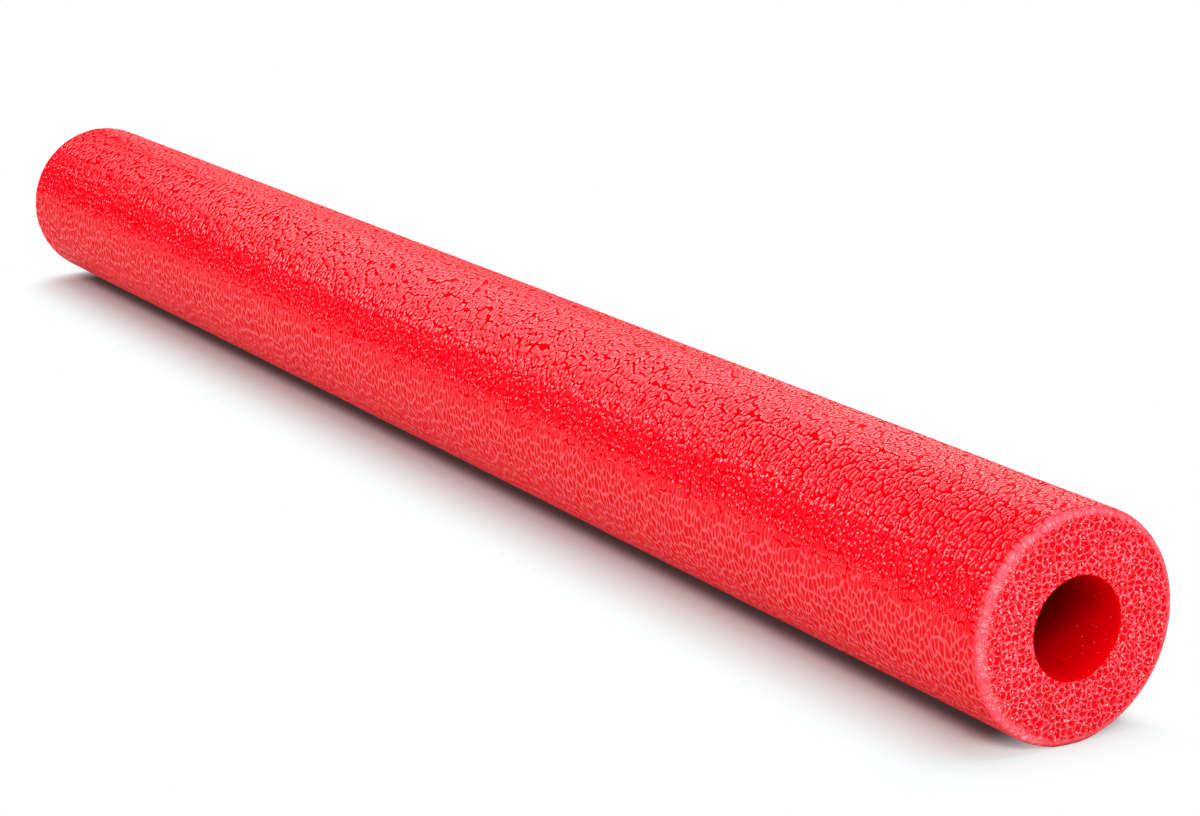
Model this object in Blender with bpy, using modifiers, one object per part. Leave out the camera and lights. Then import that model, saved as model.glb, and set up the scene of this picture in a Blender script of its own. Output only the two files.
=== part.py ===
# Pool noodle: one length of extruded closed-cell foam tube, lying on its side.
# Lengths are in metres and +Z is up. The tube runs along X, and the origin is on
# the surface that it lies on, under the middle of its length.

import math

import bpy

# Sizes that set the product
TUBE_LENGTH = 0.680
OUTER_DIAMETER = 0.065
BORE_DIAMETER = 0.028

# Edges of the cut ends: the outer rim is soft, the bore's edge is nearly sharp
RIM_RADIUS = 0.0022
BORE_EDGE_RADIUS = 0.0005

# The foam settles a little where it lies, and that flat keeps it from rolling
REST_FLAT_DEPTH = 0.0005

# How far a cutter runs past what it cuts, and the gap that the turned surface closes
CUTTER_OVERRUN = 0.010
SEAM_MERGE_DISTANCE = 0.00001

# Facet counts
TURN_STEPS = 96
RIM_ARC_STEPS = 6
BORE_EDGE_ARC_STEPS = 2

# Looks
FOAM_COLOUR = (0.83, 0.012, 0.035, 1.0)
FOAM_ROUGHNESS = 0.55


def clear_scene():
    for leftover in list(bpy.data.objects):
        bpy.data.objects.remove(leftover, do_unlink=True)


def make_collection(name):
    collection = bpy.data.collections.new(name)
    bpy.context.scene.collection.children.link(collection)
    return collection


def make_foam_material():
    material = bpy.data.materials.new("red_foam")
    material.use_nodes = True
    shader = material.node_tree.nodes["Principled BSDF"]
    shader.inputs["Base Color"].default_value = FOAM_COLOUR
    shader.inputs["Roughness"].default_value = FOAM_ROUGHNESS
    shader.inputs["Metallic"].default_value = 0.0
    return material


def clockwise_quarter(centre, radius, start_angle, steps):
    """Points of a quarter circle about a centre, from the start angle, turning clockwise."""
    points = []
    for step in range(steps + 1):
        angle = start_angle - 0.5 * math.pi * step / steps
        points.append((centre[0] + radius * math.cos(angle), centre[1] + radius * math.sin(angle)))
    return points


def wall_section():
    """The wall cut along the tube, as (distance from the axis, height along it).

    It starts at the top rim, runs down the outside, in across the lower cut end,
    up the bore and out across the upper cut end.
    """
    half_length = 0.5 * TUBE_LENGTH
    rim_centre_radius = 0.5 * OUTER_DIAMETER - RIM_RADIUS
    rim_centre_height = half_length - RIM_RADIUS
    edge_centre_radius = 0.5 * BORE_DIAMETER + BORE_EDGE_RADIUS
    edge_centre_height = half_length - BORE_EDGE_RADIUS
    quarter_turn = 0.5 * math.pi
    section = clockwise_quarter(
        (rim_centre_radius, rim_centre_height), RIM_RADIUS, quarter_turn, RIM_ARC_STEPS
    )
    section += clockwise_quarter(
        (rim_centre_radius, -rim_centre_height), RIM_RADIUS, 0.0, RIM_ARC_STEPS
    )
    section += clockwise_quarter(
        (edge_centre_radius, -edge_centre_height), BORE_EDGE_RADIUS, -quarter_turn, BORE_EDGE_ARC_STEPS
    )
    section += clockwise_quarter(
        (edge_centre_radius, edge_centre_height), BORE_EDGE_RADIUS, -2.0 * quarter_turn, BORE_EDGE_ARC_STEPS
    )
    return section


def make_foam_tube(collection, material):
    """The wall section turned about its axis, then laid down along X."""
    section = wall_section()
    points = [(radius, 0.0, height) for radius, height in section]
    edges = [(index, (index + 1) % len(points)) for index in range(len(points))]
    mesh = bpy.data.meshes.new("foam_tube")
    mesh.from_pydata(points, edges, [])
    mesh.materials.append(material)
    tube = bpy.data.objects.new("foam_tube", mesh)
    collection.objects.link(tube)

    turn = tube.modifiers.new("turn", "SCREW")
    turn.axis = "Z"
    turn.angle = 2.0 * math.pi
    turn.steps = TURN_STEPS
    turn.render_steps = TURN_STEPS
    turn.use_merge_vertices = True
    turn.merge_threshold = SEAM_MERGE_DISTANCE
    turn.use_smooth_shade = True

    tube.rotation_euler = (0.0, 0.5 * math.pi, 0.0)
    tube.location = (0.0, 0.0, 0.5 * OUTER_DIAMETER - REST_FLAT_DEPTH)
    return tube


def make_rest_cutter(collection):
    """A slab whose top is the surface that the tube lies on."""
    bpy.ops.mesh.primitive_cube_add(size=1.0)
    cutter = bpy.context.object
    cutter.name = "rest_cutter"
    slab_height = REST_FLAT_DEPTH + CUTTER_OVERRUN
    cutter.scale = (
        TUBE_LENGTH + 2.0 * CUTTER_OVERRUN,
        OUTER_DIAMETER + 2.0 * CUTTER_OVERRUN,
        slab_height,
    )
    cutter.location = (0.0, 0.0, -0.5 * slab_height)
    cutter.hide_render = True
    cutter.display_type = "WIRE"
    for holder in list(cutter.users_collection):
        holder.objects.unlink(cutter)
    collection.objects.link(cutter)
    return cutter


def cut_rest_flat(tube, cutter):
    flat = tube.modifiers.new("rest_flat", "BOOLEAN")
    flat.operation = "DIFFERENCE"
    flat.solver = "EXACT"
    flat.object = cutter


def even_out_shading(tube):
    """Normals follow the large faces, so the cut ends look flat and the side round."""
    tube.modifiers.new("shading", "WEIGHTED_NORMAL")


def build():
    clear_scene()
    noodle = make_collection("pool_noodle")
    cutters = make_collection("cutters")
    foam_tube = make_foam_tube(noodle, make_foam_material())
    cut_rest_flat(foam_tube, make_rest_cutter(cutters))
    even_out_shading(foam_tube)


build()
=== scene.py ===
import math

import bpy
import numpy as np
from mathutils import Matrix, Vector


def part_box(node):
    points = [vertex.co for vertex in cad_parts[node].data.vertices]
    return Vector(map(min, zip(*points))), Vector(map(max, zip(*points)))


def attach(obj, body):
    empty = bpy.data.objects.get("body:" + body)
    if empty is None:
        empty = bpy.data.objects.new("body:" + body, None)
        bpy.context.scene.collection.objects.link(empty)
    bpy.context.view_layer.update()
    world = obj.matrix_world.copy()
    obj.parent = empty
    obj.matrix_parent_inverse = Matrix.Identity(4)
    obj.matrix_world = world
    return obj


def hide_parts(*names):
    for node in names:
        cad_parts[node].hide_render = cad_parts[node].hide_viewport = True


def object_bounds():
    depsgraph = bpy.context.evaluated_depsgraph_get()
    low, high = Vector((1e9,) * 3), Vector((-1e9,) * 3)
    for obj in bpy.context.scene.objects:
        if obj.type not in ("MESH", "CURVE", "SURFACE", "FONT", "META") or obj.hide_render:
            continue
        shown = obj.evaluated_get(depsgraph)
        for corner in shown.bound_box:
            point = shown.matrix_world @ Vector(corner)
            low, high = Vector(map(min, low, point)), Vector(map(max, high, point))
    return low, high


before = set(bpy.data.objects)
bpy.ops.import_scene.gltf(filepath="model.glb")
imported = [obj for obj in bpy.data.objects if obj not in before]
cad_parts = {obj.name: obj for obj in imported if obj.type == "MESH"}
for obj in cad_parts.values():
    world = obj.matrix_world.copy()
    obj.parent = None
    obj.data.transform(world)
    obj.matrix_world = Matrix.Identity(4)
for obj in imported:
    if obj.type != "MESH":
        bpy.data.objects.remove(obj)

# A red foam pool noodle lying on its side: pebbled skin, open cells on the cut ends, smooth bore.
# Lengths are in metres. The tube runs along X and rests on the floor at z = 0.

cadLow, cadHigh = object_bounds()


# Node helpers: a value that is another node's output is linked, anything else is set on the socket.


def feed(tree, socket, value):
    if isinstance(value, bpy.types.NodeSocket):
        tree.links.new(value, socket)
    else:
        socket.default_value = value


def addNode(tree, kind, feeds=None, **settings):
    node = tree.nodes.new(kind)
    for name, value in settings.items():
        setattr(node, name, value)
    for name, value in (feeds or {}).items():
        feed(tree, node.inputs[name], value)
    return node


def maths(tree, operation, first, second=0.0, third=0.0):
    feeds = {0: first, 1: second, 2: third}
    return addNode(tree, "ShaderNodeMath", feeds, operation=operation).outputs[0]


def times(tree, first, second):
    return maths(tree, "MULTIPLY", first, second)


def without(tree, share):
    # what a share leaves of the whole
    return maths(tree, "SUBTRACT", 1.0, share)


def vectorMaths(tree, operation, first, second):
    feeds = {0: first, 1: second}
    return addNode(tree, "ShaderNodeVectorMath", feeds, operation=operation).outputs[0]


def scaled(tree, vector, scale):
    feeds = {0: vector, "Scale": scale}
    return addNode(tree, "ShaderNodeVectorMath", feeds, operation="SCALE").outputs[0]


def easeNode(tree, value, low, high, start=0.0, end=1.0):
    # goes smoothly from start to end as value goes from low to high
    feeds = {"Value": value, "From Min": low, "From Max": high, "To Min": start, "To Max": end}
    return addNode(tree, "ShaderNodeMapRange", feeds, interpolation_type="SMOOTHSTEP").outputs[0]


def colourMix(tree, amount, first, second):
    node = addNode(tree, "ShaderNodeMix", data_type="RGBA")
    feed(tree, node.inputs[0], amount)
    feed(tree, node.inputs[6], first)
    feed(tree, node.inputs[7], second)
    return node.outputs[2]


def noiseNode(tree, place, scale, detail=2.0, output="Fac", dimensions="3D"):
    feeds = {"Vector": place, "Scale": scale, "Detail": detail}
    return addNode(tree, "ShaderNodeTexNoise", feeds, noise_dimensions=dimensions).outputs[output]


def attributeNode(tree, name, output="Fac"):
    return addNode(tree, "ShaderNodeAttribute", attribute_name=name).outputs[output]


# The tube's sizes come from the CAD node that this piece replaces.


def readTube():
    low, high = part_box("foam_tube")
    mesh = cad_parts["foam_tube"].data
    points = np.empty(len(mesh.vertices) * 3, np.float32)
    mesh.vertices.foreach_get("co", points)
    points = points.reshape(-1, 3)
    radius = (high[1] - low[1]) / 2
    axisHeight = high[2] - radius
    bore = float(np.hypot(points[:, 1], points[:, 2] - axisHeight).min())
    return {"half": (high[0] - low[0]) / 2, "radius": radius, "axisHeight": axisHeight, "bore": bore}


tube = readTube()
print("tube sizes", {name: round(float(value), 4) for name, value in tube.items()})

foamSettings = {
    "columns": 512,                 # round the tube
    "skinStep": 0.00042,            # between rows along the skin, beside the near cut
    "cutStep": 0.00021,             # across a cut end
    "boreStep": 0.010,              # along the bore
    "rimRadius": 0.0022,            # soft outer rim of each cut
    "boreEdgeRadius": 0.0005,
    "rimRows": 10,
    "edgeRows": 3,
    "farGrowth": 1.30,              # the skin's cells are this much larger at the far cut
    "rimMiddle": 1.20,              # where on its quarter round the rim's painted highlight is palest, in radians
    "rimSpread": (0.0042, 0.0021),  # how far that paleness reaches towards skin and cut
    "rimLean": 1.5,                 # and how much further it reaches on the -y side
    "skinFade": (0.0003, 0.0022),   # where the skin's plates die out, from the rim's middle
    "cutFade": 0.0005,              # where the open cells die out towards rim and bore
    "floorFade": 0.0016,            # the underside is pressed smooth up to this height
    "farCutShift": 0.150,           # keeps the two cut ends from having the same cells
    "skinCell": (0.0036, 0.0019),   # round the tube, along it
    "skinWarp": (1.3, 0.14),        # slow, which makes the cells lean and stretch, and fine
    "skinDepth": 0.00015,
    "cutCell": (0.0021, 0.0021),
    "cutWarp": (1.0, 0.72),
    "cutDepth": 0.00028,
    "lowTurn": (70.0, 96.0),        # degrees from the top, where plates give way to a soft network
    "paintedGlintTurn": (40.0, 54.0, 72.0, 84.0),    # and between which pale dots are painted as glints on small bubbles
    "topTurn": (6.0, 26.0),         # and where the grooves of the smoother top begin and are full
    "lowDepth": 0.00016,
    "ribCell": (0.0008, 0.0036),    # fine ribs over the rim
    "ribDepth": 0.00004,
    "swellSize": 0.028,             # slow unevenness of the extrusion
    "swellDepth": 0.00022,
    "streakCell": (0.0016, 0.0120), # faint drawn streaks in the bore: round it, along it
}
skinPart, cutPart, borePart = 0, 1, 2   # also the order of the material slots


def ease(value, low, high):
    # goes smoothly from 0 to 1 as value goes from low to high: three squares less two cubes
    share = np.clip((value - low) / (high - low), 0, 1)
    return share * share * (3 - 2 * share)


def growth(x, opts):
    # how much larger the skin's cells are at x than at the near cut: grows evenly to the far cut
    return 1 + (opts["farGrowth"] - 1) * (tube["half"] - x) / (2 * tube["half"])


def evened(x, opts):
    # x stretched so that the growing cells are all one size: the integral of one over the growth
    return -np.log(growth(x, opts)) * 2 * tube["half"] / (opts["farGrowth"] - 1)


def skinRows(start, end, opts):
    # rows that stand further apart as the cells grow: even steps of the stretched x, turned back
    low, high = evened(start, opts), evened(end, opts)
    even = np.linspace(low, high, round((high - low) / opts["skinStep"]), endpoint=False)
    grown = np.exp(-even * (opts["farGrowth"] - 1) / (2 * tube["half"]))
    return tube["half"] - (grown - 1) * 2 * tube["half"] / (opts["farGrowth"] - 1)


def wallRows(opts):
    # One closed loop round the wall's section: along the skin, over the near rim, in across the near
    # cut, back along the bore, out across the far cut and over the far rim. Each row is a distance
    # from the axis, an x and a part; the quarter rounds are the cosine and sine of one angle.
    rim, edge = opts["rimRadius"], opts["boreEdgeRadius"]
    half, radius, bore = tube["half"], tube["radius"], tube["bore"]
    sideHalf, boreHalf = half - rim, half - edge
    rimAway, edgeAway = radius - rim, bore + edge

    def run(start, end, step):
        return np.linspace(start, end, round(abs(end - start) / step), endpoint=False)

    side = skinRows(-sideHalf, sideHalf, opts)
    cut = run(rimAway, edgeAway, opts["cutStep"])
    inside = run(boreHalf, -boreHalf, opts["boreStep"])
    turn = run(0, math.pi / 2, math.pi / 2 / opts["rimRows"])
    small = run(0, math.pi / 2, math.pi / 2 / opts["edgeRows"])
    outward = run(edgeAway, rimAway, opts["cutStep"])
    sections = [
        (np.full_like(side, radius), side, skinPart),
        (rimAway + rim * np.cos(turn), sideHalf + rim * np.sin(turn), skinPart),
        (cut, np.full_like(cut, half), cutPart),
        (edgeAway - edge * np.sin(small), boreHalf + edge * np.cos(small), borePart),
        (np.full_like(inside, bore), inside, borePart),
        (edgeAway - edge * np.cos(small), -boreHalf - edge * np.sin(small), borePart),
        (outward, np.full_like(outward, -half), cutPart),
        (rimAway + rim * np.sin(turn), -sideHalf - rim * np.cos(turn), skinPart),
    ]
    away = np.concatenate([section[0] for section in sections])
    x = np.concatenate([section[1] for section in sections])
    part = np.concatenate([np.full(len(section[0]), section[2]) for section in sections])
    return away, x, part


def rowShares(away, x, part, side, opts):
    # The fused rim and its painted highlight are full on its middle and fade to both sides, further on
    # the -y side. The skin's plates run onto it and die out there, and the cut's cells fade in beside
    # it.
    # All of it goes by the distance walked along the section.
    rim = opts["rimRadius"]
    alongSkin = np.maximum(tube["half"] - rim - np.abs(x), 0)
    acrossCut = np.maximum(tube["radius"] - rim - away, 0)
    turned = np.arctan2(np.abs(x) - (tube["half"] - rim), away - (tube["radius"] - rim))
    turned = np.clip(turned, 0, math.pi / 2) - opts["rimMiddle"]
    fromMiddle = rim * np.abs(turned) + alongSkin + acrossCut
    skinSpread, cutSpread = opts["rimSpread"]
    cutSpread = cutSpread * (1 + opts["rimLean"] * side[None, :])
    spread = np.where(turned[:, None] < 0, skinSpread, cutSpread)
    rimShare = 1 - ease(fromMiddle[:, None], 0, spread)
    skinShare = ease(fromMiddle, *opts["skinFade"]) * (turned < 0) * (part == skinPart)
    fromBore = away - tube["bore"] - opts["boreEdgeRadius"]
    cutShare = ease(acrossCut, 0, opts["cutFade"]) * ease(fromBore, 0, opts["cutFade"])
    return rimShare, skinShare[:, None], (cutShare * (part == cutPart))[:, None]


def setPointValues(mesh, name, kind, values):
    layer = mesh.attributes.new(name, kind, "POINT")
    field = "vector" if kind == "FLOAT_VECTOR" else "value"
    layer.data.foreach_set(field, np.ascontiguousarray(values, np.float32).ravel())


def flatPlace(u, v, unit=(1.0, 1.0)):
    # the last column repeats the first, one turn on, and points don't need it
    u, v = u[:, :-1] / unit[0], v[:, :-1] / unit[1]
    return np.stack([u, v, 0 * u], -1)


def setCornerMap(mesh, name, u, v):
    layer = mesh.uv_layers.new(name=name)
    layer.uv.foreach_set("vector", np.stack([u, v], -1).astype(np.float32).ravel())


def makeFoamMesh(opts):
    # A point is (x, distance from the axis times sine, axis height minus distance times cosine) of
    # an angle that starts at the underside. The floor presses the underside flat.
    away, x, part = wallRows(opts)
    rows, columns = len(away), opts["columns"]
    angle = 2 * math.pi * np.arange(columns + 1) / columns
    y = away[:, None] * np.sin(angle)
    z = tube["axisHeight"] - away[:, None] * np.cos(angle)
    step = np.hypot(np.roll(away, -1) - away, np.roll(x, -1) - x)
    way = x[0] + np.concatenate([[0], np.cumsum(step)[:-1]])
    # the far rim's rows come last and lie before the skin's first row
    farRim = (x < 0) & (part == skinPart) & (np.arange(rows) > rows // 2)
    way[farRim] -= step.sum()

    points = np.stack([np.repeat(x[:, None], columns, 1), y[:, :-1], np.maximum(z[:, :-1], 0)], -1)
    index = np.arange(rows * columns).reshape(rows, columns)
    across, along = np.roll(index, -1, 1), np.roll(index, -1, 0)
    quads = np.stack([index, across, np.roll(along, -1, 1), along], -1).reshape(-1, 4)
    mesh = bpy.data.meshes.new("foamTube")
    mesh.from_pydata(points.reshape(-1, 3), [], quads)
    mesh.polygons.foreach_set("material_index", np.repeat(part, columns).astype(np.int32))

    # Where the patterns are read. Skin: cells round and along the tube. Cut: cells across the flat
    # end. Bore: streak lengths. The bake layout reads the same places in metres.
    cut = part == cutPart
    grown = growth(way, opts)
    unit = np.where((part == skinPart)[:, None], opts["skinCell"], opts["cutCell"])
    unit = np.where((part == borePart)[:, None], opts["streakCell"], unit)
    roundRadius = np.where(part == borePart, tube["bore"], tube["radius"])
    evenWay = np.where(part == skinPart, evened(way, opts), way)
    evenNext = np.where(part == skinPart, evened(way + step, opts), way + step)
    evenRound = np.where(part == skinPart, roundRadius / grown, roundRadius)
    farShift = np.where(x < 0, opts["farCutShift"], 0)
    flatY = y + farShift[:, None]
    flatZ = z - tube["axisHeight"]
    still = np.ones(columns + 1)
    placeU = np.where(cut[:, None], flatY, evenRound[:, None] * angle) / unit[:, :1]
    placeV = np.where(cut[:, None], flatZ, evenWay[:, None] * still) / unit[:, 1:]
    setPointValues(mesh, "foamPlace", "FLOAT_VECTOR", flatPlace(placeU, placeV))
    ribU = tube["radius"] * angle + 0 * y
    ribPlace = flatPlace(ribU, way[:, None] * still, opts["ribCell"])
    setPointValues(mesh, "ribPlace", "FLOAT_VECTOR", ribPlace)

    def corners(start, end):
        # values of a band's four corners from its first row's and next row's values
        return np.stack([start[:, :-1], start[:, 1:], end[:, 1:], end[:, :-1]], -1)

    nextY, nextZ = np.roll(y, -1, 0) + farShift[:, None], np.roll(flatZ, -1, 0)
    pick = cut[:, None, None]
    flatU, flatV = corners(flatY, nextY), corners(flatZ, nextZ)
    turnU = roundRadius[:, None] * angle
    wayV = corners(way[:, None] * still, (way + step)[:, None] * still)
    u, v = np.where(pick, flatU, corners(turnU, turnU)), np.where(pick, flatV, wayV)
    setCornerMap(mesh, "OFBake", *bakeLayout(u, v, x, way, part, opts))
    grownNext = growth(way + step, opts)
    nextRound = np.where(part == skinPart, roundRadius / grownNext, roundRadius)
    evenU = corners(evenRound[:, None] * angle, nextRound[:, None] * angle)
    evenV = corners(evenWay[:, None] * still, evenNext[:, None] * still)
    u, v = np.where(pick, flatU, evenU), np.where(pick, flatV, evenV)
    setCornerMap(mesh, "foamMap", u / unit[:, :1, None], v / unit[:, 1:, None])

    # side is 1 at -y, where the rim's painted highlight reaches further
    openShare = ease(np.maximum(z[:, :-1], 0), 0, opts["floorFade"])
    side = np.maximum(-np.sin(angle[:-1]), 0)
    shares = dict(zip(("rimShare", "skinShare", "cutShare"), rowShares(away, x, part, side, opts)))
    shares["openShare"] = np.ones((rows, 1))
    shares["skinDeep"] = shares["skinShare"] * grown[:, None]
    for name, share in shares.items():
        setPointValues(mesh, name, "FLOAT", share * openShare)
    fromTop = np.abs(180 - np.degrees(angle[:-1]))
    start, full, fade, end = opts["paintedGlintTurn"]
    turnShares = {
        "lowShare": ease(fromTop, *opts["lowTurn"]),
        "paintedGlintShare": ease(fromTop, start, full) * (1 - ease(fromTop, fade, end)),
        "topShare": 1 - ease(fromTop, *opts["topTurn"]),
    }
    for name, share in turnShares.items():
        setPointValues(mesh, name, "FLOAT", np.ones((rows, 1)) * share)
    print("foam surface", rows, "rows of", columns, "columns")
    return mesh


bakeSettings = {"strips": 3, "margin": 0.002}


def bakeLayout(u, v, x, way, part, opts):
    # A flat layout with nothing overlapping: the skin and the bore are cut into strips along the
    # length, which stand side by side, and the two cut ends lie beside them.
    strips, margin = bakeSettings["strips"], bakeSettings["margin"]
    skin, bore, cut = part == skinPart, part == borePart, part == cutPart
    skinWide, boreWide = 2 * math.pi * tube["radius"], 2 * math.pi * tube["bore"]
    low = np.where(skin, way[skin].min(), way[bore].min())
    span = np.where(skin, np.ptp(way[skin]), np.ptp(way[bore])) / strips
    strip = np.clip((way - low) // span, 0, strips - 1)
    tall = span[skin][0] + margin
    # strips fill two rows: two of the skin, then the third of the skin and the three of the bore
    lastSkin = skin & (strip == strips - 1)
    boreStart = skinWide + margin + strip * (boreWide + margin)
    startU = np.where(skin, strip * (skinWide + margin), boreStart)
    startU[lastSkin] = 0
    startV = np.where(lastSkin | bore, tall, 0)
    shiftU, shiftV = startU, startV - low - strip * span
    disc = 2 * tube["radius"] + margin
    farCut = cut & (x < 0)
    shiftU[cut] = 2 * (skinWide + margin) + tube["radius"]
    shiftU[farCut] -= opts["farCutShift"]
    shiftV[cut] = tube["radius"]
    shiftV[farCut] += disc
    size = max(2 * (skinWide + margin) + disc, 2 * tall) + margin
    u = u + shiftU[:, None, None] + margin / 2
    v = v + shiftV[:, None, None] + margin / 2
    return u / size, v / size


# The cell network is built from the same nodes in two places: as geometry nodes that press the relief
# into the mesh, and as a shader group that colours the same cells.


cellSettings = {
    "warpScale": (0.30, 1.40),      # of the slow and the fine warp's noise, to each cell
    "randomness": 0.88,
    "corner": (0.74, 0.8),          # reach and slope of the wider groove where three cells meet
    "backFall": 2.2,                # how fast a plate's round back falls from its middle
    "backLeast": 0.7,               # height of the lowest back, the highest being 1
    "backEdge": 0.16,               # width of the groove round the back, in cells
    "groove": (0.04, 0.22),         # a plate's fine form, in cells from its edge: the groove,
    "dish": (0.22, 0.38),           # and where its middle dips
    "dishDepth": 0.45,
    "seam": (0.02, 0.20),           # a seam's line and where it ends, in cells from the edge
    "lowPick": 0.7,                 # how much cells differ in where the network takes over
    "lowEdge": (0.40, 0.60),        # and how suddenly it does
    "pit": (0.05, 0.36),            # an open cell's slope, in cells from its edge
    "pitLeast": 0.45,               # depth of the shallowest, the deepest being 1
    "speckFull": 0.7,               # the full part of a speck, as a share of its size
    "speckEdge": 0.1,               # and how suddenly its rarity picks cells
}


def cellNodes(tree, place, slowWarp, fineWarp):
    # Place is measured in cells. A slow noise makes the cells lean and stretch, and a fine one bends
    # their walls. Edge is the distance to the nearest wall, in cells, Middle the distance from the
    # cell's middle, and Tone one random value for each cell.
    moved = place
    for scale, amount in zip(cellSettings["warpScale"], (slowWarp, fineWarp)):
        noise = noiseNode(tree, place, scale, 1.0, "Color", "2D")
        nudge = vectorMaths(tree, "SUBTRACT", noise, (0.5, 0.5, 0.5))
        moved = vectorMaths(tree, "ADD", moved, scaled(tree, nudge, amount))
    feeds = {"Vector": moved, "Scale": 1.0, "Randomness": cellSettings["randomness"]}

    def voronoi(feature):
        settings = {"voronoi_dimensions": "2D", "feature": feature}
        return addNode(tree, "ShaderNodeTexVoronoi", feeds, **settings).outputs

    cells = voronoi("F1")
    tone = addNode(tree, "ShaderNodeSeparateXYZ", {0: cells["Color"]}).outputs[0]
    return voronoi("DISTANCE_TO_EDGE")["Distance"], cells["Distance"], tone


def roundedEdge(tree, edge, middle):
    # The grooves widen where three cells meet, which rounds the cells' corners: the smaller of the
    # distance to the edge and a slope that falls away from the middle.
    reach, slope = cellSettings["corner"]
    corner = times(tree, maths(tree, "SUBTRACT", reach, middle), slope)
    return maths(tree, "MINIMUM", edge, corner)


def pillowNodes(tree, edge, middle, tone):
    # A skin cell is a round back, one less the square of the distance from its middle. Each has its
    # own height, and a groove runs along its edge: from 0 to 1.
    cell = cellSettings
    squared = times(tree, middle, middle)
    back = maths(tree, "MULTIPLY_ADD", squared, -cell["backFall"], 1.0)
    back = maths(tree, "MAXIMUM", back, 0.0)
    height = maths(tree, "MULTIPLY_ADD", tone, 1 - cell["backLeast"], cell["backLeast"])
    groove = easeNode(tree, roundedEdge(tree, edge, middle), 0.0, cell["backEdge"])
    return times(tree, times(tree, back, height), groove)


def plateNodes(tree, edge):
    # the fine form on that back: a steep groove, a raised rim and a dished middle, from 0 to 1
    groove = easeNode(tree, edge, *cellSettings["groove"])
    dish = easeNode(tree, edge, *cellSettings["dish"], 0.0, cellSettings["dishDepth"])
    return maths(tree, "SUBTRACT", groove, dish)


def seamNodes(tree, edge):
    # the soft raised lines between the cells low on the sides: 1 on a line, 0 beside it
    return easeNode(tree, edge, *cellSettings["seam"], 1.0, 0.0)


def lowNodes(tree, lowShare, tone):
    # the network takes over from the plates cell by cell
    differ = maths(tree, "SUBTRACT", tone, 0.5)
    picked = maths(tree, "MULTIPLY_ADD", differ, cellSettings["lowPick"], lowShare)
    return easeNode(tree, picked, *cellSettings["lowEdge"])


def bubbleNodes(tree, middle, wide):
    # a small round dome over the middle of each cell, from 0 to 1
    away = maths(tree, "DIVIDE", middle, wide)
    dome = maths(tree, "MULTIPLY_ADD", times(tree, away, away), -1.0, 1.0)
    return maths(tree, "MAXIMUM", dome, 0.0)


def pitNodes(tree, edge, tone):
    # an open cell falls from its wall to a floor of its own depth: from 0 to 1
    least = cellSettings["pitLeast"]
    depth = maths(tree, "MULTIPLY_ADD", tone, 1 - least, least)
    return times(tree, easeNode(tree, edge, *cellSettings["pit"]), depth)


def makeReliefTree(opts):
    # Height along the normal: plates turning into seams on the skin, less the pits of the cut, the
    # ribs of the rim and the swell of the whole. Each part is a depth times its share.
    tree = bpy.data.node_groups.new("foamRelief", "GeometryNodeTree")
    tree.interface.new_socket("Geometry", in_out="INPUT", socket_type="NodeSocketGeometry")
    tree.interface.new_socket("Geometry", in_out="OUTPUT", socket_type="NodeSocketGeometry")
    source, result = tree.nodes.new("NodeGroupInput"), tree.nodes.new("NodeGroupOutput")

    def pointValue(name, kind="FLOAT"):
        node = addNode(tree, "GeometryNodeInputNamedAttribute", {"Name": name}, data_type=kind)
        return node.outputs["Attribute"]

    place = pointValue("foamPlace", "FLOAT_VECTOR")
    skinCells = cellNodes(tree, place, *opts["skinWarp"])
    cutEdge, _, cutTone = cellNodes(tree, place, *opts["cutWarp"])
    pillow = maths(tree, "SUBTRACT", pillowNodes(tree, *skinCells), 1.0)
    pillow = times(tree, pillow, opts["skinDepth"])
    seam = maths(tree, "SUBTRACT", seamNodes(tree, skinCells[0]), 1.0)
    seam = times(tree, seam, opts["lowDepth"])
    lowShare = lowNodes(tree, pointValue("lowShare"), skinCells[2])
    pillow = times(tree, pillow, without(tree, lowShare))
    pillow = maths(tree, "MULTIPLY_ADD", seam, lowShare, pillow)
    pillow = times(tree, pillow, pointValue("skinDeep"))
    pit = times(tree, pitNodes(tree, cutEdge, cutTone), pointValue("cutShare"))
    ribs = noiseNode(tree, pointValue("ribPlace", "FLOAT_VECTOR"), 1.0, 1.0, "Fac", "2D")
    rib = times(tree, ribs, pointValue("rimShare"))
    position = addNode(tree, "GeometryNodeInputPosition").outputs[0]
    swell = noiseNode(tree, position, 1 / opts["swellSize"], 1.0)
    swell = times(tree, swell, pointValue("openShare"))
    height = maths(tree, "MULTIPLY_ADD", pit, -opts["cutDepth"], pillow)
    height = maths(tree, "MULTIPLY_ADD", rib, -opts["ribDepth"], height)
    height = maths(tree, "MULTIPLY_ADD", swell, -opts["swellDepth"], height)
    normal = addNode(tree, "GeometryNodeInputNormal").outputs[0]
    feeds = {"Geometry": source.outputs[0], "Offset": scaled(tree, normal, height)}
    moved = addNode(tree, "GeometryNodeSetPosition", feeds)
    tree.links.new(moved.outputs[0], result.inputs[0])
    return tree


def pressRelief(piece, opts):
    # the relief becomes part of the mesh, and nothing reaches under the floor or past the cuts
    modifier = piece.modifiers.new("relief", "NODES")
    modifier.node_group = makeReliefTree(opts)
    graph = bpy.context.evaluated_depsgraph_get()
    pressed = piece.evaluated_get(graph)
    finished = bpy.data.meshes.new_from_object(pressed, preserve_all_data_layers=True, depsgraph=graph)
    piece.modifiers.clear()
    plain, piece.data = piece.data, finished
    bpy.data.meshes.remove(plain)
    points = np.empty(len(finished.vertices) * 3, np.float32)
    finished.vertices.foreach_get("co", points)
    points = np.clip(points.reshape(-1, 3), np.array(cadLow), np.array(cadHigh)).astype(np.float32)
    finished.vertices.foreach_set("co", points.ravel())
    finished.update()


# Shader groups, each built once: the cells, the foam's fine grain, the specks, which also paint
# glints, and the fused rim with its painted highlight.


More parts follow.
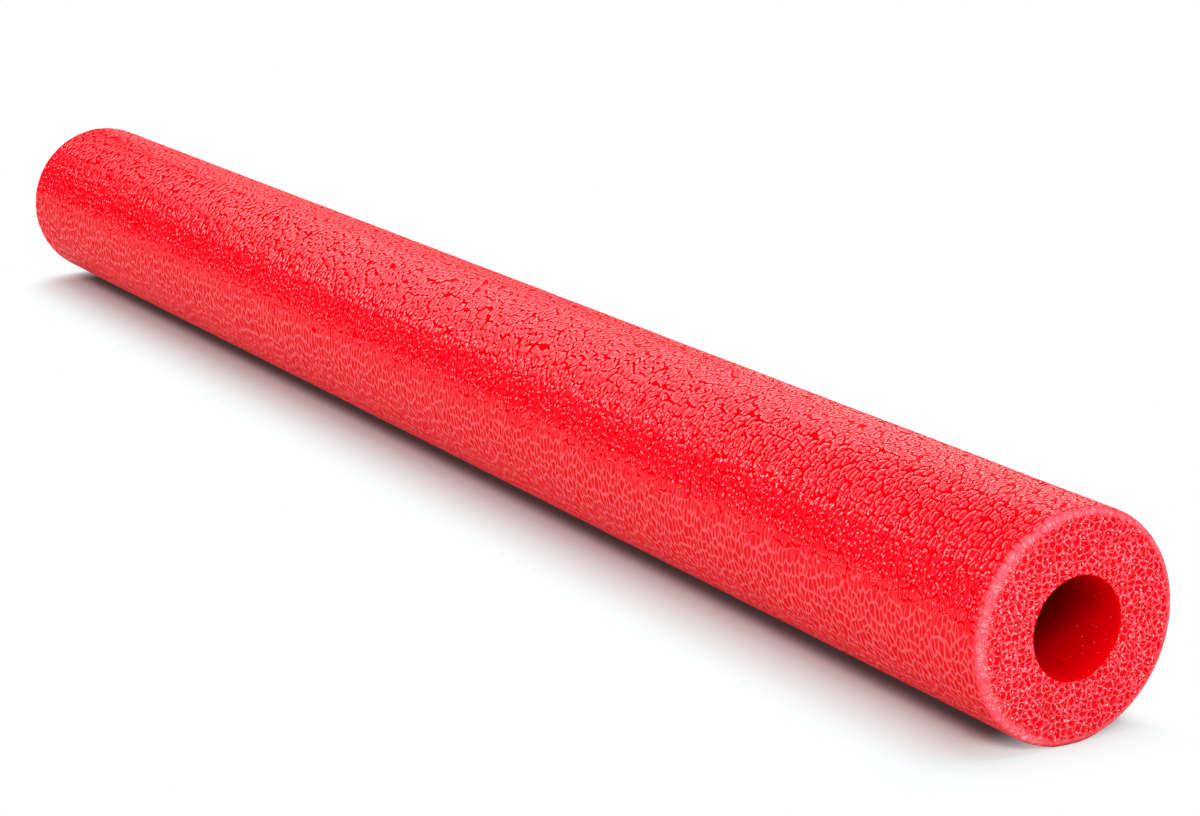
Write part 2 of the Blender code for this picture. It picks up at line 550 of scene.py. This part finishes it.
def makeShaderGroup(name, inputs, outputs):
    # inputs and outputs go from a socket's name to its kind
    tree = bpy.data.node_groups.new(name, "ShaderNodeTree")
    for side, sockets in (("INPUT", inputs), ("OUTPUT", outputs)):
        for label, kind in sockets.items():
            tree.interface.new_socket(label, in_out=side, socket_type="NodeSocket" + kind)
    return tree, tree.nodes.new("NodeGroupInput").outputs, tree.nodes.new("NodeGroupOutput").inputs


def makeCellGroup():
    inputs = {"Place": "Vector", "Slow Warp": "Float", "Fine Warp": "Float"}
    names = ("Edge", "Middle", "Tone", "Round Edge")
    tree, given, wanted = makeShaderGroup("foamCells", inputs, dict.fromkeys(names, "Float"))
    edge, middle, tone = cellNodes(tree, given["Place"], given["Slow Warp"], given["Fine Warp"])
    for name, value in zip(names, (edge, middle, tone, roundedEdge(tree, edge, middle))):
        feed(tree, wanted[name], value)
    return tree


def makeGrainGroup():
    # a fine unevenness whose lumps are about the given size
    inputs = {"Place": "Vector", "Grain Size": "Float"}
    tree, given, wanted = makeShaderGroup("foamGrain", inputs, {"Grain": "Float"})
    scale = maths(tree, "DIVIDE", 1.0, given["Grain Size"])
    feed(tree, wanted["Grain"], noiseNode(tree, given["Place"], scale, 3.0))
    return tree


def makeSpeckGroup():
    # a tiny round mark in the middle of the cells whose random tone is above the rarity: painted glints
    # on the skin and cut, painted shade of pits on the top, and specks in the bore
    inputs = dict.fromkeys(("Middle", "Tone", "Size", "Rarity"), "Float")
    tree, given, wanted = makeShaderGroup("foamSpecks", inputs, {"Speck": "Float"})
    full = times(tree, given["Size"], cellSettings["speckFull"])
    dot = easeNode(tree, given["Middle"], full, given["Size"], 1.0, 0.0)
    picked = maths(tree, "SUBTRACT", given["Tone"], given["Rarity"])
    picked = easeNode(tree, picked, 0.0, cellSettings["speckEdge"])
    feed(tree, wanted["Speck"], times(tree, dot, picked))
    return tree


rimSettings = {
    # the rim's blush, pale and line colours paint a highlight on the rounded rim
    "blush": (0.95, 0.036, 0.054, 1.0),
    "pale": (1.0, 0.120, 0.155, 1.0),
    "line": (1.0, 0.420, 0.470, 1.0),
    "coverEdge": (0.06, 0.50),      # from the cells' own colour to the blush, in shares of the rim
    "paleEdge": (0.30, 0.90),       # from blush to pale
    "lineEdge": (0.90, 1.40),       # and from pale to the brightest lines
    "foot": 0.25,                   # below this share the rim dies out
    "ragged": 0.40,                 # how much the cells beside the rim break it up
    "ribs": 0.35,                   # and the fine ribs
    "ribEdge": (0.42, 0.78),
    "patch": 0.45,                  # and a slow unevenness
    "patchScale": 0.16,             # of that unevenness, to each rib
}


def makeRimGroup():
    # The fused rim: a soft blush that runs out over the skin, and a ragged pale line near the cut, both
    # a painted highlight on the rounded rim. Cell goes from 0 in the cells' low parts to 1 on their
    # outlines, and shows through the rim.
    rim = rimSettings
    inputs = {"Colour": "Color", "Share": "Float", "Cell": "Float", "Rib Place": "Vector"}
    outputs = {"Colour": "Color", "Ribs": "Float"}
    tree, given, wanted = makeShaderGroup("foamRim", inputs, outputs)
    place, share = given["Rib Place"], given["Share"]
    ribs = easeNode(tree, noiseNode(tree, place, 1.0, 3.0, "Fac", "2D"), *rim["ribEdge"])
    patch = noiseNode(tree, place, rim["patchScale"], 1.0, "Fac", "2D")
    ragged = share
    # what breaks it up, its usual value, and how much
    for value, usual, amount in (
        (patch, 0.5, rim["patch"]),
        (ribs, 0.4, rim["ribs"]),
        (given["Cell"], 0.5, rim["ragged"]),
    ):
        shift = maths(tree, "SUBTRACT", value, usual)
        ragged = maths(tree, "MULTIPLY_ADD", shift, amount, ragged)
    ragged = times(tree, ragged, easeNode(tree, share, 0.0, rim["foot"]))
    tint = colourMix(tree, easeNode(tree, ragged, *rim["paleEdge"]), rim["blush"], rim["pale"])
    tint = colourMix(tree, easeNode(tree, ragged, *rim["lineEdge"]), tint, rim["line"])
    cover = easeNode(tree, ragged, *rim["coverEdge"])
    feed(tree, wanted["Colour"], colourMix(tree, cover, given["Colour"], tint))
    feed(tree, wanted["Ribs"], ribs)
    return tree


cellGroup = makeCellGroup()
grainGroup = makeGrainGroup()
speckGroup = makeSpeckGroup()
rimGroup = makeRimGroup()


def placeGroup(tree, group, feeds):
    node = tree.nodes.new("ShaderNodeGroup")
    node.node_tree = group
    for name, value in feeds.items():
        feed(tree, node.inputs[name], value)
    return node.outputs


def startMaterial(name, look):
    # all of the foam's gloss is in its coat, where it has one, and the base has none
    material = bpy.data.materials.new(name)
    material.use_nodes = True
    tree = material.node_tree
    shader = tree.nodes["Principled BSDF"]
    shader.inputs["Roughness"].default_value = look["roughness"]
    shader.inputs["Specular IOR Level"].default_value = 0.0
    shader.inputs["Coat Roughness"].default_value = look.get("coatRoughness", 0.0)
    return material, tree, shader


def foamPlaces(tree):
    # the flat place on the surface, for cells, and the place in the solid, for grain
    flat = addNode(tree, "ShaderNodeUVMap", uv_map="foamMap").outputs[0]
    solid = addNode(tree, "ShaderNodeTexCoord").outputs["Object"]
    return flat, solid


def placeCells(tree, flat, warp, repeats=(1.0, 1.0, 1.0)):
    place = vectorMaths(tree, "MULTIPLY", flat, repeats)
    return placeGroup(tree, cellGroup, {"Place": place, "Slow Warp": warp[0], "Fine Warp": warp[1]})


def placeGrain(tree, solid, grainSize):
    return placeGroup(tree, grainGroup, {"Place": solid, "Grain Size": grainSize})["Grain"]


def placeSpecks(tree, cells, size, rarity):
    feeds = {"Middle": cells["Middle"], "Tone": cells["Tone"], "Size": size, "Rarity": rarity}
    return placeGroup(tree, speckGroup, feeds)["Speck"]


def placeRim(tree, colour, cell):
    # gives the colour with the rim over it, the rim's share and its ribs
    share = attributeNode(tree, "rimShare")
    place = attributeNode(tree, "ribPlace", "Vector")
    feeds = {"Colour": colour, "Share": share, "Cell": cell, "Rib Place": place}
    rim = placeGroup(tree, rimGroup, feeds)
    return rim["Colour"], share, rim["Ribs"]


def bumpNode(tree, height, distance, normal=None):
    node = addNode(tree, "ShaderNodeBump", {"Height": height, "Distance": distance})
    if normal is not None:
        feed(tree, node.inputs["Normal"], normal)
    return node.outputs[0]


skinSettings = {
    # groove: darker than the plate, a little painted shade in the grooves
    "groove": (0.80, 0.000, 0.004, 1.0),
    "plate": (0.86, 0.002, 0.012, 1.0),
    # plateRim: the outlines' pale pink is partly a painted highlight
    "plateRim": (0.92, 0.022, 0.040, 1.0),
    # topPit: the painted shade of small pits
    "topPit": (0.78, 0.000, 0.004, 1.0),
    # low and seam: the seams' paler pink is partly a painted sheen from the floor
    "low": (0.78, 0.011, 0.017, 1.0),       # low on the sides, between the seams
    "seam": (0.88, 0.078, 0.091, 1.0),
    # dot: a painted glint
    "dot": (1.0, 0.340, 0.400, 1.0),
    "plateEdge": (0.07, 0.17),      # from groove to plate, in cells from the cell's edge
    "outlineEdge": (0.17, 0.32),    # from the plate's glossy outline to its middle
    "roughness": 0.50,
    "coatRoughness": 0.13,
    "outlineGrain": (0.35, 0.65),   # the fine grain breaks that outline up
    "outlineLeast": 0.6,
    "coat": (0.18, 0.78),           # on a plate's middle and on its outline
    "dotCoat": 0.4,
    "lowCoat": (0.04, 0.36),        # between the seams and on them
    "rimCoat": 0.3,                 # how much of the coat is left on the fused rim
    "plateBump": 0.00016,
    "ribBump": 0.4,                 # of the rim's ribs, as a share of that
    "bubbleRepeats": (2.0, 1.17, 1.0),  # of the small bubbles, to each cell
    "bubbleWide": 0.45,             # in bubbles
    "bubbleBump": 0.00010,
    "dotSize": 0.15,                # a painted glint on a small bubble's top, in bubbles
    "dotRarity": 0.25,              # and the share of bubbles without one
    "topCalm": 0.15,                # how much of the grooves the smoother top loses
    "topPits": (0.22, 0.72),        # size and rarity of its scattered pits, painted as darker spots: painted shade without relief
    "grainSize": 0.0008,
    "grainBump": 0.00002,
}


def makeSkinMaterial(opts):
    skin = skinSettings
    material, tree, shader = startMaterial("foamSkin", skin)
    flat, solid = foamPlaces(tree)
    cells = placeCells(tree, flat, opts["skinWarp"])
    small = placeCells(tree, flat, opts["skinWarp"], skin["bubbleRepeats"])
    grain = placeGrain(tree, solid, skin["grainSize"])
    low = lowNodes(tree, attributeNode(tree, "lowShare"), cells["Tone"])
    plate = easeNode(tree, cells["Round Edge"], *skin["plateEdge"])
    top = attributeNode(tree, "topShare")
    calm = times(tree, top, skin["topCalm"])
    plate = maths(tree, "MULTIPLY_ADD", calm, without(tree, plate), plate)
    topPit = times(tree, placeSpecks(tree, small, *skin["topPits"]), top)
    plate = times(tree, plate, without(tree, topPit))
    outline = easeNode(tree, cells["Round Edge"], *skin["outlineEdge"], 1.0, 0.0)
    outline = times(tree, plate, outline)
    broken = easeNode(tree, grain, *skin["outlineGrain"], skin["outlineLeast"], 1.0)
    outline = times(tree, outline, broken)
    seam = seamNodes(tree, cells["Edge"])
    # the grooves a little darker than the plates: painted shade
    colour = colourMix(tree, plate, skin["groove"], skin["plate"])
    # the outlines' paler colour is partly a painted highlight
    colour = colourMix(tree, outline, colour, skin["plateRim"])
    colour = colourMix(tree, low, colour, colourMix(tree, seam, skin["low"], skin["seam"]))
    # pale dots painted as glints, only in a band round the tube's side
    dot = placeSpecks(tree, small, skin["dotSize"], skin["dotRarity"])
    dot = times(tree, dot, attributeNode(tree, "paintedGlintShare"))
    colour = colourMix(tree, dot, colour, skin["dot"])
    # darker spots painted as the shade of small pits on the top
    colour = colourMix(tree, topPit, colour, skin["topPit"])
    cell = times(tree, maths(tree, "ADD", plate, outline), 0.5)
    colour, share, ribs = placeRim(tree, colour, cell)
    feed(tree, shader.inputs["Base Color"], colour)

    shine = times(tree, dot, skin["dotCoat"])
    shine = maths(tree, "MAXIMUM", shine, easeNode(tree, outline, 0.0, 1.0, *skin["coat"]))
    shine = times(tree, plate, shine)
    lowShine = easeNode(tree, seam, 0.0, 1.0, *skin["lowCoat"])
    shine = times(tree, shine, without(tree, low))
    shine = maths(tree, "MULTIPLY_ADD", lowShine, low, shine)
    shine = times(tree, shine, easeNode(tree, share, 0.0, 1.0, 1.0, skin["rimCoat"]))
    feed(tree, shader.inputs["Coat Weight"], shine)

    plain = without(tree, share)
    form = plateNodes(tree, cells["Round Edge"])
    form = times(tree, form, without(tree, low))
    form = maths(tree, "MULTIPLY_ADD", seam, low, form)
    height = times(tree, form, plain)
    ribShare = times(tree, share, skin["ribBump"])
    height = maths(tree, "MULTIPLY_ADD", ribs, ribShare, height)
    normal = bumpNode(tree, height, skin["plateBump"])
    bubble = bubbleNodes(tree, small["Middle"], skin["bubbleWide"])
    normal = bumpNode(tree, times(tree, bubble, plain), skin["bubbleBump"], normal)
    normal = bumpNode(tree, grain, skin["grainBump"], normal)
    feed(tree, shader.inputs["Normal"], normal)
    return material


cutSettings = {
    # pit: painted shade at the floors of the open cells
    "pit": (0.88, 0.000, 0.004, 1.0),
    "slope": (0.95, 0.003, 0.016, 1.0),
    "wall": (1.0, 0.045, 0.072, 1.0),
    # paleWall: partly a painted highlight on the walls
    "paleWall": (1.0, 0.240, 0.290, 1.0),
    # speck: a painted glint
    "speck": (1.0, 0.650, 0.690, 1.0),
    "wallEdge": (0.03, 0.14),       # from a wall's line to the slope beside it, in cells
    "curlScale": 0.75,              # of the curls' noise, to each cell
    "curlEdge": (0.008, 0.026),     # and beside a curl, in steps of its noise
    "curlStrength": 0.9,            # beside a wall's line
    "paleGrain": (0.40, 0.64),      # where grain and patches turn a wall pale
    "palePatch": (0.3, 0.7),
    "paleLeast": 0.4,
    "roughness": 0.50,
    "coatRoughness": 0.16,
    "coat": (0.09, 0.90),           # in the cells and on their walls
    "wallBump": 0.00012,
    "lineHeight": 0.7,              # of a line above the deepest pit, in pit depths
    "fineRepeats": (1.6, 1.6, 1.0),
    "speckSize": 0.16,
    "speckRarity": (0.30, 0.68),    # on the -y side and past it
    "speckTurn": (-0.026, -0.006),  # which ends over these places along y
    "grainSize": 0.0007,
    "patchSize": 0.004,
    "grainBump": 0.00005,
}


def makeCutMaterial(opts):
    cut = cutSettings
    material, tree, shader = startMaterial("foamCut", cut)
    flat, solid = foamPlaces(tree)
    cells = placeCells(tree, flat, opts["cutWarp"])
    fine = placeCells(tree, flat, opts["cutWarp"], cut["fineRepeats"])
    grain = placeGrain(tree, solid, cut["grainSize"])
    patch = noiseNode(tree, solid, 1 / cut["patchSize"], 2.0)
    pit = pitNodes(tree, cells["Edge"], cells["Tone"])
    wall = easeNode(tree, cells["Edge"], *cut["wallEdge"], 1.0, 0.0)
    # curls are the lines along which a smooth noise keeps one value
    curl = noiseNode(tree, flat, cut["curlScale"], 0.0, "Fac", "2D")
    curl = maths(tree, "ABSOLUTE", maths(tree, "SUBTRACT", curl, 0.5))
    curl = easeNode(tree, curl, *cut["curlEdge"], cut["curlStrength"], 0.0)
    lines = maths(tree, "MAXIMUM", wall, curl)
    bright = easeNode(tree, grain, *cut["paleGrain"])
    patchy = easeNode(tree, patch, *cut["palePatch"], cut["paleLeast"], 1.0)
    bright = times(tree, bright, patchy)
    # the colour deepens towards the pits' floors: painted shade
    colour = colourMix(tree, pit, cut["slope"], cut["pit"])
    # the pale walls are partly a painted highlight
    wallTint = colourMix(tree, bright, cut["wall"], cut["paleWall"])
    colour = colourMix(tree, lines, colour, wallTint)
    y = addNode(tree, "ShaderNodeSeparateXYZ", {0: solid}).outputs[1]
    rarity = easeNode(tree, y, *cut["speckTurn"], *cut["speckRarity"])
    # pale specks painted as glints, commoner on the -y side
    speck = placeSpecks(tree, fine, cut["speckSize"], rarity)
    colour, share, _ = placeRim(tree, colour, lines)
    colour = colourMix(tree, speck, colour, cut["speck"])
    feed(tree, shader.inputs["Base Color"], colour)
    inCell, onWall = cut["coat"]
    shine = maths(tree, "MULTIPLY_ADD", lines, onWall - inCell, inCell)
    feed(tree, shader.inputs["Coat Weight"], shine)
    height = maths(tree, "MULTIPLY_ADD", lines, cut["lineHeight"], times(tree, pit, -1.0))
    height = times(tree, height, without(tree, share))
    normal = bumpNode(tree, height, cut["wallBump"])
    normal = bumpNode(tree, grain, cut["grainBump"], normal)
    feed(tree, shader.inputs["Normal"], normal)
    return material


boreSettings = {
    "deep": (0.36, 0.000, 0.000, 1.0),      # the same foam, darkened where little light gets in
    "light": (0.84, 0.000, 0.003, 1.0),
    "depth": (0.002, 0.030),        # over these distances from the mouth
    "streaks": 0.45,                # how much the drawn streaks shift it
    "speck": (0.95, 0.160, 0.200, 1.0),
    "roughness": 0.6,
    "streakBump": 0.00008,
    "speckRepeats": (0.8, 6.0, 1.0),    # of the specks' cells, to a streak's width and length
    "speckSize": 0.08,
    "speckRarity": 0.80,
}


def makeBoreMaterial():
    bore = boreSettings
    material, tree, shader = startMaterial("foamBore", bore)
    flat, solid = foamPlaces(tree)
    streak = noiseNode(tree, flat, 1.0, 3.0, "Fac", "2D")
    x = addNode(tree, "ShaderNodeSeparateXYZ", {0: solid}).outputs[0]
    inside = maths(tree, "SUBTRACT", float(tube["half"]), maths(tree, "ABSOLUTE", x))
    dark = easeNode(tree, inside, *bore["depth"])
    lighter = maths(tree, "SUBTRACT", streak, 0.5)
    dark = maths(tree, "MULTIPLY_ADD", lighter, bore["streaks"], dark)
    colour = colourMix(tree, dark, bore["light"], bore["deep"])
    dots = placeCells(tree, flat, (0.0, 0.0), bore["speckRepeats"])
    speck = placeSpecks(tree, dots, bore["speckSize"], bore["speckRarity"])
    colour = colourMix(tree, speck, colour, bore["speck"])
    feed(tree, shader.inputs["Base Color"], colour)
    feed(tree, shader.inputs["Normal"], bumpNode(tree, streak, bore["streakBump"]))
    return material


def makeFoamTube(opts):
    mesh = makeFoamMesh(opts)
    piece = bpy.data.objects.new("foamTube", mesh)
    bpy.context.scene.collection.objects.link(piece)
    pressRelief(piece, opts)
    for material in (makeSkinMaterial(opts), makeCutMaterial(opts), makeBoreMaterial()):
        piece.data.materials.append(material)
    piece.data.shade_smooth()
    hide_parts("foam_tube")
    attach(piece, "root")
    print("foam tube", len(piece.data.polygons), "faces")
    return piece


makeFoamTube(foamSettings)


# Studio: a floor that turns white away from the tube, soft lamps, and a dark tent that only reflections
# see, so that the skin mirrors the lamps and the floor and nothing else.

studioSettings = {
    "floorSize": 16.0,
    "floorColour": (0.72, 0.72, 0.72, 1.0),
    "floorSeen": (0.67, 0.810, 0.810, 1.0), # what the camera sees of it, painted cool to cancel the red bounce light
    "coreDepth": 0.72,                      # how dark the painted shadow core is under the tube's side
    "floorCore": (0.0115, 0.0205),          # and it lightens over these distances
    # the glow is painted light: it whitens the floor over the tube's shadow, sooner behind it and past
    # the cuts
    "floorGlow": (0.034, 0.075),            # and over these the floor turns white
    "backGlow": 2.2,                        # distances behind the tube count this much more
    "endGlow": (-0.020, 0.018),             # and the floor turns white over these past the cuts
    "surround": 0.15,                       # how strongly the world lights, which is seen as white
    "lamps": [
        # name, place, size, power, aim
        ("overhead", (0.0, 0.20, 1.7), (2.0, 1.4), 21.0, (0.0, 0.0, 0.0)),
        ("fill", (-0.15, -1.9, 0.60), (2.0, 0.8), 15.5, (0.0, 0.0, 0.03)),
        ("backFill", (-0.90, 1.60, 0.45), (1.4, 0.6), 4.0, (0.0, 0.0, 0.03)),
        ("farSky", (-1.35, 0.30, 1.15), (1.9, 0.62), 17.0, (0.0, 0.0, 0.03)),
        ("midSky", (-1.30, 0.05, 0.66), (0.7, 0.36), 1.5, (0.0, 0.0, 0.03)),
        ("lowSky", (-1.25, 0.95, 0.55), (1.2, 0.75), 4.4, (0.0, 0.0, 0.03)),
        ("glint", (-2.30, -1.20, 1.36), (0.58, 0.58), 8.5, (0.1, 0.0, 0.03)),
        ("front", (1.30, -0.50, 0.90), (0.50, 0.50), 13.0, (0.34, 0.0, 0.03)),
    ],
    "tent": (6.0, 2.4),             # wide and high
}


def aimed(place, target):
    # a lamp shines along its own -Z
    return (Vector(target) - Vector(place)).to_track_quat("-Z", "Y").to_euler()


def makeStage(name, points, faces, colour):
    # a matt part of the studio, which isn't part of the object
    mesh = bpy.data.meshes.new(name)
    mesh.from_pydata(points, [], faces)
    piece = bpy.data.objects.new(name, mesh)
    bpy.context.scene.collection.objects.link(piece)
    material = bpy.data.materials.new(name)
    material.use_nodes = True
    shader = material.node_tree.nodes["Principled BSDF"]
    shader.inputs["Base Color"].default_value = colour
    shader.inputs["Specular IOR Level"].default_value = 0.0
    mesh.materials.append(material)
    return piece


def square(wide, height):
    # the corners of a level square round the z axis, half of its width away from it on each side
    half = wide / 2
    return [(-half, -half, height), (half, -half, height), (half, half, height), (-half, half, height)]


def seenNodes(tree):
    # 1 for what shows directly or in a reflection, 0 for what only lights
    path = tree.nodes.new("ShaderNodeLightPath").outputs
    seen = maths(tree, "MAXIMUM", path["Is Camera Ray"], path["Is Glossy Ray"])
    return maths(tree, "MAXIMUM", seen, path["Is Transmission Ray"])


def makeFloor(opts):
    # Camera and reflections see the floor lighter than it lights the tube, and turning white away from
    # the tube. Near the tube it keeps the tube's shadow, with a painted darker core under the tube's
    # sides.
    floor = makeStage("floor", square(opts["floorSize"], 0.0), [(0, 1, 2, 3)], opts["floorColour"])
    tree = floor.data.materials[0].node_tree
    shader = tree.nodes["Principled BSDF"]
    seen = seenNodes(tree)
    black = (0.0, 0.0, 0.0, 1.0)
    place = tree.nodes.new("ShaderNodeTexCoord").outputs["Object"]
    x, y, _ = addNode(tree, "ShaderNodeSeparateXYZ", {0: place}).outputs
    past = maths(tree, "SUBTRACT", maths(tree, "ABSOLUTE", x), float(tube["half"]))
    behind = times(tree, y, opts["backGlow"])
    before = times(tree, y, -1.0)
    away = maths(tree, "MAXIMUM", behind, before)
    endGlow = easeNode(tree, past, *opts["endGlow"])
    glow = maths(tree, "MAXIMUM", easeNode(tree, away, *opts["floorGlow"]), endGlow)
    glow = times(tree, glow, seen)
    # a painted shadow core beside the tube
    core = easeNode(tree, away, *opts["floorCore"], opts["coreDepth"], 0.0)
    core = times(tree, core, without(tree, endGlow))
    colour = colourMix(tree, maths(tree, "MAXIMUM", core, glow), opts["floorSeen"], black)
    feed(tree, shader.inputs["Base Color"], colourMix(tree, seen, opts["floorColour"], colour))
    shader.inputs["Emission Color"].default_value = (1.0, 1.0, 1.0, 1.0)
    feed(tree, shader.inputs["Emission Strength"], glow)


def makeTent(opts):
    # four black walls and a lid that only reflections meet
    wide, height = opts["tent"]
    sides = [(0, 1, 5, 4), (1, 2, 6, 5), (2, 3, 7, 6), (3, 0, 4, 7), (4, 5, 6, 7)]
    points = square(wide, 0.0) + square(wide, height)
    tent = makeStage("tent", points, sides, (0.0, 0.0, 0.0, 1.0))
    tent.visible_camera = False
    tent.visible_diffuse = False
    tent.visible_transmission = False
    tent.visible_shadow = False


def makeStudio(opts):
    makeFloor(opts)
    makeTent(opts)
    for name, place, size, power, target in opts["lamps"]:
        data = bpy.data.lights.new(name, "AREA")
        data.shape = "RECTANGLE"
        data.size, data.size_y = size
        data.energy = power
        lamp = bpy.data.objects.new(name, data)
        lamp.location = place
        lamp.rotation_euler = aimed(place, target)
        bpy.context.scene.collection.objects.link(lamp)
    world = bpy.data.worlds.new("surround")
    bpy.context.scene.world = world
    world.use_nodes = True
    tree = world.node_tree
    lights = opts["surround"]
    strength = maths(tree, "MULTIPLY_ADD", seenNodes(tree), 1.0 - lights, lights)
    background = tree.nodes["Background"]
    background.inputs["Color"].default_value = (1.0, 1.0, 1.0, 1.0)
    feed(tree, background.inputs["Strength"], strength)
    print("studio ready")


makeStudio(studioSettings)

# The camera was fitted to the outline: place in metres, angles in degrees, lens in millimetres.
cameraSettings = {
    "place": (0.8842, -0.4665, 0.2801),
    "pitch": 15.009,
    "yaw": 59.268,
    "lens": 87.07,
    "sensor": 36.0,
}


def makeCamera(opts):
    data = bpy.data.cameras.new("camera")
    data.lens = opts["lens"]
    data.sensor_width = opts["sensor"]
    camera = bpy.data.objects.new("camera", data)
    camera.location = opts["place"]
    camera.rotation_euler = (math.radians(90 - opts["pitch"]), 0, math.radians(opts["yaw"]))
    bpy.context.scene.collection.objects.link(camera)
    bpy.context.scene.camera = camera
    print("camera ready")


makeCamera(cameraSettings)
bpy.context.scene.view_settings.view_transform = "Standard"
